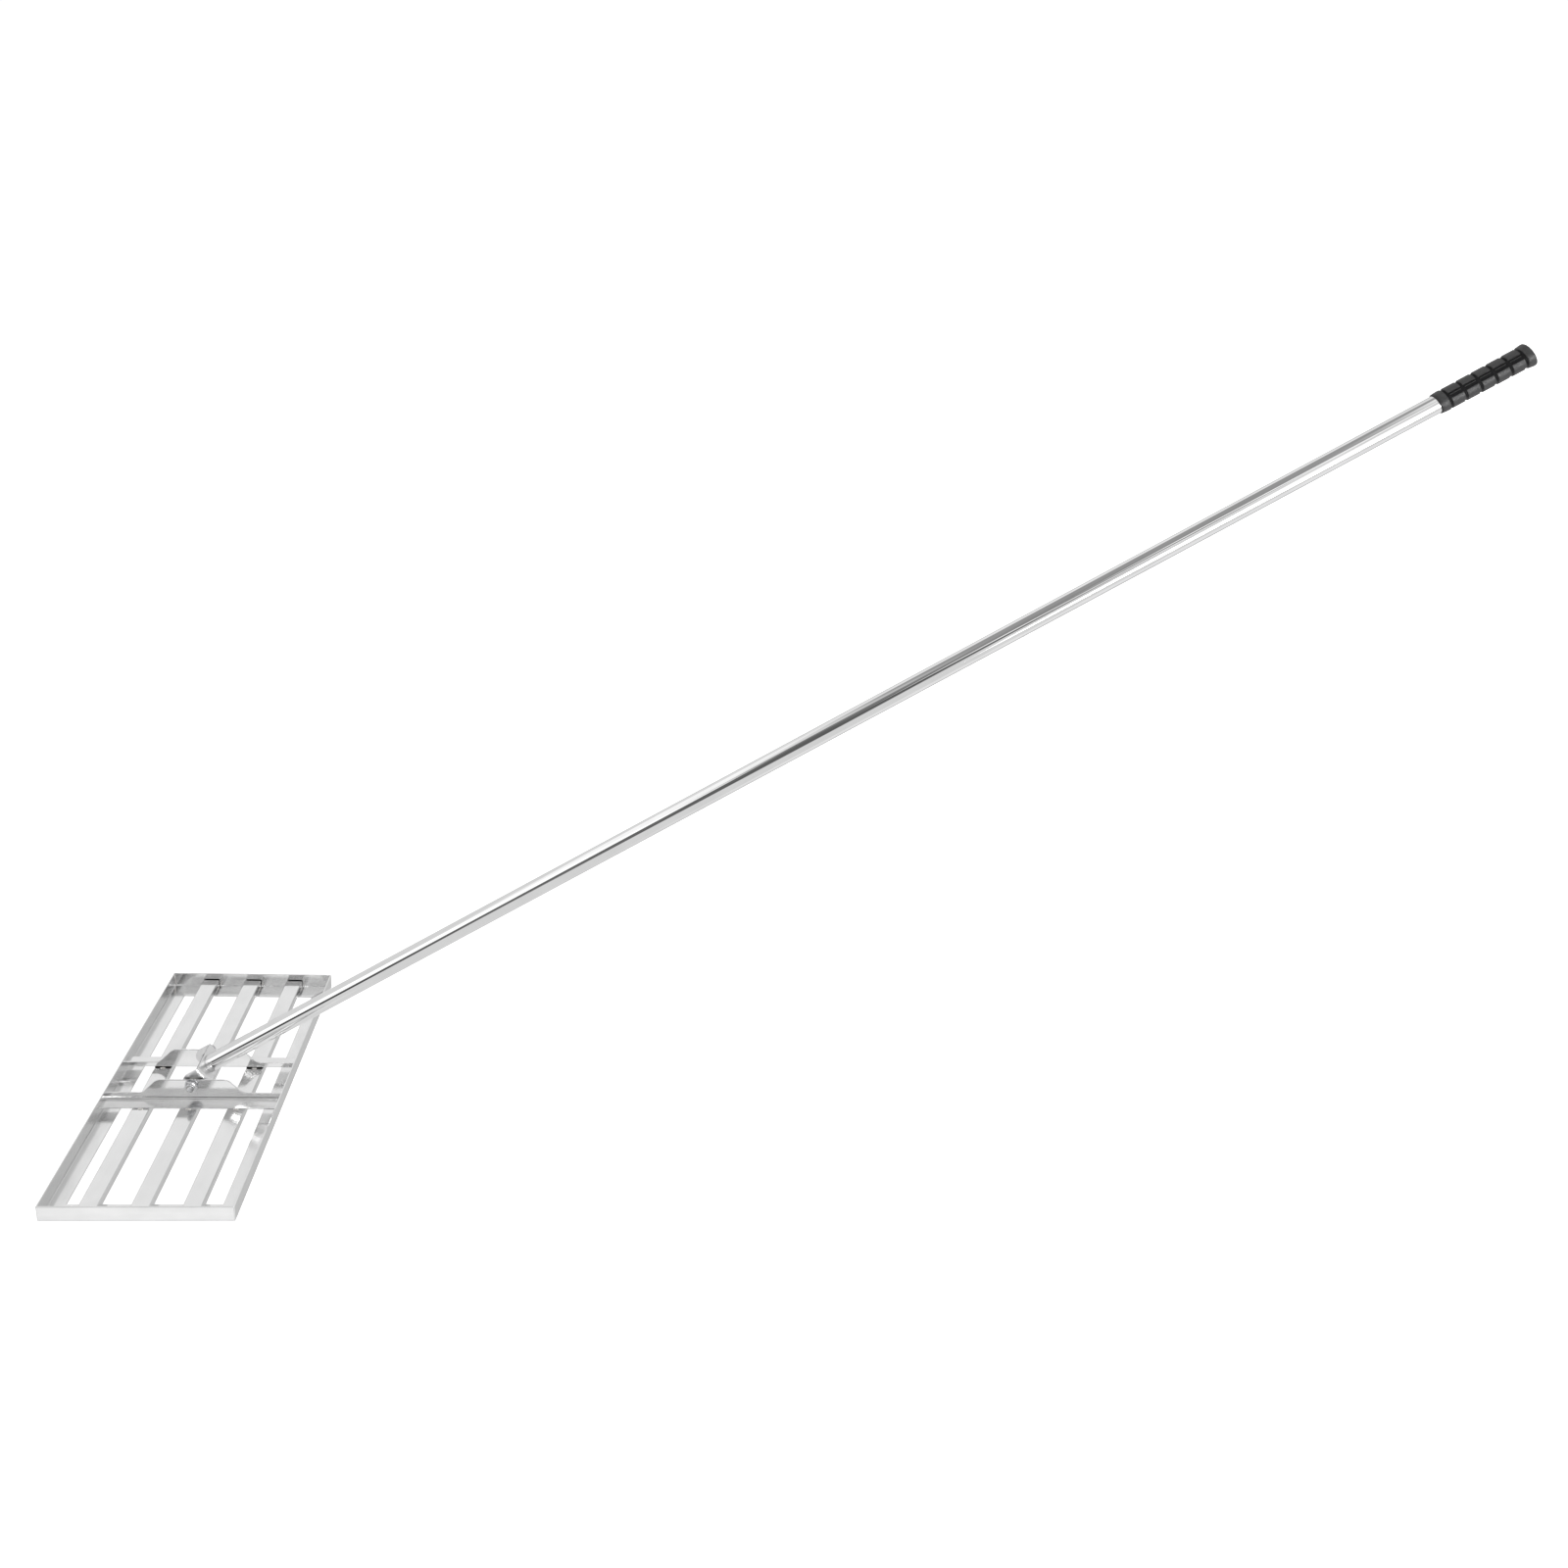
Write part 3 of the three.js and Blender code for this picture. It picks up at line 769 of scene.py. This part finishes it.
def fork():
    """U-shaped fork: two round-ended lugs on the bolt, and the bridge that the pole stands on."""
    outer = size("swivel_fork").y / 2
    tail, top = reach("swivel_fork")
    half = -tail
    past = 1 * MM
    inner, bend = outer - FORK_SHEET, FORK_BEND
    section = [
        (outer, tail - past),
        *arc(outer - bend, top - bend, bend, 0, 90, 12),
        *arc(bend - outer, top - bend, bend, 90, 180, 12),
        (-outer, tail - past),
        (-inner, tail - past),
        *arc(bend - outer, top - bend, bend - FORK_SHEET, 180, 90, 12),
        *arc(outer - bend, top - bend, bend - FORK_SHEET, 90, 0, 12),
        (inner, tail - past),
    ]
    outline = [(half, top + past), (-half, top + past), *arc(0, 0, half, 180, 360, 40)]
    bent = prism(section, -2 * half, 2 * half, "yz")
    blank = prism(outline, -2 * outer, 2 * outer, "xz")
    mesh = carve(bent, blank, "INTERSECT")
    bolt_hole = spin([(BOLT_HOLE, -2 * outer), (BOLT_HOLE, 2 * outer)], 64)
    bmesh.ops.rotate(bolt_hole, verts=bolt_hole.verts, matrix=Matrix.Rotation(math.pi / 2, 3, "X"))
    mesh = carve(mesh, bolt_hole)
    mesh = carve(mesh, spin([(FOOT_HOLE, BOLT_RADIUS), (FOOT_HOLE, 2 * top)], 48))
    piece("swivel_fork_sheet", mesh, FORK_STEEL, "handle", ["swivel_fork"], HANDLE,
          edge=SHEET_EDGE)


def foot_fastening():
    """The washer and the bolt through the fork's bridge, which hold the pole."""
    low, high = reach("foot_washer")
    plain_ring("foot_washer", "_turned", FOOT_HOLE, WASHER_EDGE, ZINC, "handle",
               HANDLE, (low, high), size("foot_washer").y / 2)
    start, end = reach("foot_bolt")
    seat = low - 0.05 * MM
    tip = 1 * MM
    profile = [
        *bolt_head(start, seat, FOOT_BOLT_FLATS, 0.25 * MM),
        (FOOT_BOLT_RADIUS, seat),
        (FOOT_BOLT_RADIUS, high),
        *thread(FOOT_BOLT_RADIUS, high, end - tip, FOOT_THREAD_PITCH, FOOT_THREAD_DEPTH),
        (FOOT_BOLT_RADIUS - 2 * FOOT_THREAD_DEPTH, end),
        (0, end),
    ]
    mesh = spin(profile, HEX_SIDES)
    piece("foot_bolt_turned", mesh, ZINC, "handle", ["foot_bolt"], HANDLE, 24)


def pole():
    """The pole's sections: tubes whose ends are just broken."""
    radius = size("pole_section_1").y / 2
    bore = radius - POLE_WALL
    for number in range(1, POLE_SECTIONS + 1):
        node = "pole_section_%d" % number
        low, high = reach(node)
        low -= POLE_CLOSING if number > 1 else 0
        high += POLE_CLOSING if number < POLE_SECTIONS else 0
        profile = rounded_box(bore, low, radius, high, POLE_EDGE, 2)
        mesh = spin(profile, 128, along=True)
        piece(node + "_tube", mesh, POLE_STEEL, "handle", [node], HANDLE, 40)


# ---- grip ----

GRIP_SIDES = 192
GRIP_STEP = 0.4 * MM
GRIP_COLLAR = 13 * MM
GRIP_RINGS = 5
GRIP_GROOVE = 2.4 * MM
GROOVE_FLOOR = 13.1 * MM
PAD_RADIUS = 14.5 * MM
PAD_GROWTH = 0.55 * MM  # from the first ring of pads to the last
LIP_RADIUS = 13.8 * MM
LIP_ROUND = 0.5 * MM
END_RADIUS = 16.1 * MM
END_RIM = 1.6 * MM  # rounding of the closed end
PADS_AROUND = 4
LONG_GROOVE_ANGLE = 37  # middle of a long groove, in degrees up from the front
LONG_GROOVE_HALF = 16  # degrees
RIB_ANGLE = 40
RIB_HALF = 4
RIB_RADIUS = 14.4 * MM
FINE_RIB_PITCH = 2 * MM
FINE_RIB_DEPTH = 0.07 * MM
SWELL_LENGTH = 9 * MM  # from the collar's lip to its full radius
SLEEVE_CLEARANCE = 0.1 * MM


def smooth(x, low, high):
    t = min(max((x - low) / (high - low), 0), 1)
    return t * t * (3 - 2 * t)


def window(x, low, high, rise, fall):
    """1 between low and high, with smooth edges of the given widths inside them."""
    return smooth(x, low, low + rise) * (1 - smooth(x, high - fall, high))


def turned_from(angle, middle_angle, period):
    """Signed difference of two angles in degrees, within half a period."""
    return (angle - middle_angle + period / 2) % period - period / 2


def collar_radius(s):
    """Radius of the plain collar, which swells from its lip and drops into the first groove."""
    swell = smooth(s, 0, SWELL_LENGTH) * (PAD_RADIUS - LIP_RADIUS)
    lip = LIP_ROUND * (1 - smooth(s, 0, 0.8 * MM))
    drop = smooth(s, GRIP_COLLAR - 1.2 * MM, GRIP_COLLAR)
    return (LIP_RADIUS + swell - lip) * (1 - drop) + GROOVE_FLOOR * drop


def flare_radius(t, from_end):
    """Radius at t past the last ring of pads, where the grip flares out to its rounded end."""
    rise = smooth(t, GRIP_GROOVE, GRIP_GROOVE + 0.8 * MM)
    full = PAD_RADIUS + PAD_GROWTH + 0.2 * MM
    flare = (END_RADIUS - full) * smooth(t, GRIP_GROOVE, GRIP_COLLAR - 3 * MM)
    round_off = END_RIM - math.sqrt(max(END_RIM**2 - max(END_RIM - from_end, 0) ** 2, 0))
    return GROOVE_FLOOR + (full + flare - GROOVE_FLOOR) * rise - round_off


def pad_radius(s, angle, pitch):
    """Radius among the rings of pads, with a low rib in each long groove between two pads."""
    ring = min(int((s - GRIP_COLLAR) / pitch), GRIP_RINGS - 1)
    t = s - GRIP_COLLAR - ring * pitch
    top = PAD_RADIUS + PAD_GROWTH * ring / (GRIP_RINGS - 1)
    period = 360 / PADS_AROUND
    off = abs(turned_from(angle, LONG_GROOVE_ANGLE, period))
    around = smooth(off, LONG_GROOVE_HALF - 1.5, LONG_GROOVE_HALF + 1.5)
    along = window(t, GRIP_GROOVE, pitch, 0.7 * MM, 1.5 * MM)
    fine = FINE_RIB_DEPTH * (0.5 + 0.5 * math.cos(2 * math.pi * s / FINE_RIB_PITCH))
    pad = (top - fine - GROOVE_FLOOR) * around * along
    off_rib = abs(turned_from(angle, RIB_ANGLE, period))
    rib_long = window(t, GRIP_GROOVE + 0.6 * MM, pitch - 1.6 * MM, 1.2 * MM, 1.2 * MM)
    rib = (RIB_RADIUS - GROOVE_FLOOR) * (1 - smooth(off_rib, RIB_HALF * 0.2, RIB_HALF)) * rib_long
    return GROOVE_FLOOR + max(pad, rib)


def grip_radius(s, angle, length):
    """Radius of the grip at s along it and at an angle in degrees up from the front."""
    last = length - GRIP_COLLAR
    if s < GRIP_COLLAR:
        return collar_radius(s)
    if s >= last:
        return flare_radius(s - last, length - s)
    return pad_radius(s, angle, (last - GRIP_COLLAR) / GRIP_RINGS)


def grip():
    """Rubber sleeve over the pole's end: a plain collar, rings of raised pads, a flared end."""
    low, high = reach("grip")
    length = high - low
    pole_end = reach("pole_section_5")[1]
    bore = size("pole_section_1").y / 2 + 0.05 * MM
    steps = round(length / GRIP_STEP)

    def outside(i):
        s = length * i / steps
        # The angle counts up from the front, -Y, towards the upper side of the pole, -X here.
        return lambda a: grip_radius(s, math.degrees(math.atan2(-math.cos(a), -math.sin(a))), length)

    def height(i):
        return low + length * i / steps

    inside_end = pole_end + SLEEVE_CLEARANCE
    mouth = [(bore, low + 0.4 * MM), (bore + 0.3 * MM, low)]
    profile = [(0, inside_end), (bore, inside_end), *mouth]
    profile += [(outside(i), height(i)) for i in range(steps)]
    end_radius = END_RADIUS - END_RIM
    profile += [(end_radius, high), (end_radius * 0.66, high), (end_radius * 0.33, high), (0, high)]
    mesh = spin(profile, GRIP_SIDES)
    # Its vertices are moved, not its object, so that its own box is as small as it can be.
    bmesh.ops.transform(mesh, matrix=HANDLE, verts=mesh.verts)
    made = piece("grip_moulding", mesh, RUBBER, "handle", ["grip"], sharp=50, flat=False)
    relief = made.data.attributes.new("relief", "FLOAT", "POINT")
    for vertex, value in zip(made.data.vertices, relief.data):
        from_axis = (vertex.co - PIVOT).cross(POLE).length
        value.value = (from_axis - GROOVE_FLOOR) / (PAD_RADIUS - GROOVE_FLOOR)


rim()
for slat_name in SLATS:
    slat(slat_name)
bracket("cross_bracket_front", -1)
bracket("cross_bracket_rear", 1)
bracket_welds("cross_bracket_front", "front_bracket_welds")
bracket_welds("cross_bracket_rear", "rear_bracket_welds")
bracket_gap_shades("cross_bracket_front", -1, "front_bracket_gap_shade")
bracket_gap_shades("cross_bracket_rear", 1, "rear_bracket_gap_shade")
rim_welds()
slat_welds()
pivot_bolt()
pivot_lock_nut()
washers()
fork()
foot_fastening()
pole()
grip()

# ---- studio ----


def direction(azimuth, elevation):
    """Azimuth 0 is +Y and 90 is +X, in degrees."""
    a, e = math.radians(azimuth), math.radians(elevation)
    return Vector((math.sin(a) * math.cos(e), math.cos(a) * math.cos(e), math.sin(e)))


BACKDROP = 1.05  # brightness of the white behind the rake
SURROUNDINGS = 0.73  # brightness of the studio, as reflections see it, where no panel stands
# Panels round the rake: [azimuth, elevation, half width, half height, softness, brightness]. The
# widths and heights are tangents of angles, as a flat panel one metre away would have in metres.
# Where panels overlap, the later one shows.
PANELS = (
    (-27, 42, 0.3, 0.35, 0.2, 0.88),
    (32, 42, 0.42, 0.4, 0.18, 0.6),
    (-103, 68, 0.75, 0.32, 0.1, 0.33),
    (172, 74, 0.25, 0.3, 0.1, 1.4),
    (-136, 21, 0.18, 0.45, 0.06, 0.13),
    (-124, 42, 0.12, 0.08, 0.04, 0.15),
    (-137, 0, 0.1, 0.07, 0.03, 0.03),
    (-157, 15, 0.21, 0.24, 0.05, 0.12),
    (-140, 50, 0.25, 0.2, 0.12, 0.28),
    (-82, 37, 0.45, 0.13, 0.06, 1.05),
    (-113, 22, 0.27, 0.22, 0.05, 1.3),
    (-160, 42, 0.17, 0.21, 0.04, 0.98),
    (-157, 40.5, 0.14, 0.065, 0.04, 0.1),
    (168, 11, 0.15, 0.3, 0.05, 1.2),
    (162, -3, 0.2, 0.15, 0.05, 10.0),
    (160, 42, 0.22, 0.2, 0.06, 0.08),
    (113, -50, 0.36, 0.36, 0.1, 0.86),
    (35, -44, 0.5, 0.34, 0.15, 0.58),
    (-152, -46, 0.14, 0.1, 0.05, 1.02),
)


class Sky(Nodes):
    """Light that depends only on the direction it comes from."""

    def __init__(self, tree):
        super().__init__(tree)
        tree.nodes.clear()
        self.direction = self.node("ShaderNodeTexCoord").outputs["Generated"]

    def calculate(self, operation, *values):
        made = self.node("ShaderNodeMath", operation=operation)
        for socket, value in zip(made.inputs, values):
            self.put(value, socket)
        return made.outputs[0]

    def towards(self, vector):
        made = self.node("ShaderNodeVectorMath", operation="DOT_PRODUCT")
        self.link(self.direction, made.inputs[0])
        made.inputs[1].default_value = vector
        return made.outputs["Value"]

    def inside(self, offset, half, softness):
        """1 within half of a panel's middle, falling to 0 across its soft edge."""
        distance = self.calculate("ABSOLUTE", offset)
        edge = half + softness, half - softness
        return self.spread(distance, 0, 1, *edge, interpolation_type="SMOOTHSTEP")

    def panel(self, behind, azimuth, elevation, half_width, half_height, softness, brightness):
        """Lays a panel over what is behind it."""
        facing = direction(azimuth, elevation)
        right = direction(azimuth + 90, 0)
        ahead = self.calculate("MAXIMUM", self.towards(facing), 1e-3)
        across = self.calculate("DIVIDE", self.towards(right), ahead)
        upright = self.calculate("DIVIDE", self.towards(right.cross(facing)), ahead)
        edges = self.inside(across, half_width, softness), self.inside(upright, half_height, softness)
        mix = self.node("ShaderNodeMix", data_type="FLOAT")
        self.link(self.calculate("MULTIPLY", *edges), mix.inputs["Factor"])
        self.put(behind, mix.inputs["A"])
        mix.inputs["B"].default_value = brightness
        return mix.outputs["Result"]

    def background(self, strength):
        made = self.node("ShaderNodeBackground")
        made.inputs["Color"].default_value = (1, 1, 1, 1)
        self.put(strength, made.inputs["Strength"])
        return made.outputs[0]


def studio():
    """The panels, which light the rake but aren't seen themselves, and the white behind it."""
    world = bpy.data.worlds.new("studio")
    bpy.context.scene.world = world
    world.use_nodes = True
    sky = Sky(world.node_tree)
    light = SURROUNDINGS
    for panel in PANELS:
        light = sky.panel(light, *panel)
    both = sky.node("ShaderNodeMixShader")
    sky.link(sky.node("ShaderNodeLightPath").outputs["Is Camera Ray"], both.inputs["Fac"])
    sky.link(sky.background(light), both.inputs[1])
    sky.link(sky.background(BACKDROP), both.inputs[2])
    output = sky.node("ShaderNodeOutputWorld")
    sky.link(both.outputs[0], output.inputs["Surface"])


def floor():
    """White paper under the rake, left out of reflections."""
    mesh = bmesh.new()
    bmesh.ops.create_grid(mesh, x_segments=1, y_segments=1, size=60)
    data = bpy.data.meshes.new("floor")
    mesh.to_mesh(data)
    mesh.free()
    made = bpy.data.objects.new("floor", data)
    bpy.context.scene.collection.objects.link(made)
    made.location = (0, 0, -0.3 * MM)
    made.visible_glossy = False
    paper = bpy.data.materials.new("white_paper")
    paper.use_nodes = True
    shader = paper.node_tree.nodes["Principled BSDF"]
    shader.inputs["Base Color"].default_value = (0.9, 0.9, 0.9, 1)
    shader.inputs["Roughness"].default_value = 1
    shader.inputs["Specular IOR Level"].default_value = 0
    shader.inputs["Emission Color"].default_value = (1, 1, 1, 1)
    shader.inputs["Emission Strength"].default_value = 0.7
    data.materials.append(paper)


# Place and angles fitted to the photo, in metres and degrees.
CAMERA_FROM_PIVOT = Vector((0.6668, -1.4865, 1.4313))
CAMERA_YAW = -4.41
CAMERA_PITCH = 16.31
CAMERA_ROLL = 3.88
CAMERA_LENS = 27.9
CAMERA_SHIFT = (0.0042, -0.2188)


def camera():
    data = bpy.data.cameras.new("camera")
    data.lens = CAMERA_LENS
    data.sensor_width = 36
    data.shift_x, data.shift_y = CAMERA_SHIFT
    data.clip_end = 200
    made = bpy.data.objects.new("camera", data)
    bpy.context.scene.collection.objects.link(made)
    turn = Matrix.Rotation(math.radians(CAMERA_YAW), 4, "Z")
    tip = Matrix.Rotation(math.radians(90 - CAMERA_PITCH), 4, "X")
    roll = Matrix.Rotation(math.radians(CAMERA_ROLL), 4, "Z")
    made.matrix_world = Matrix.Translation(PIVOT + CAMERA_FROM_PIVOT) @ turn @ tip @ roll
    bpy.context.scene.camera = made


studio()
floor()
camera()
bpy.context.scene.view_settings.view_transform = "Standard"
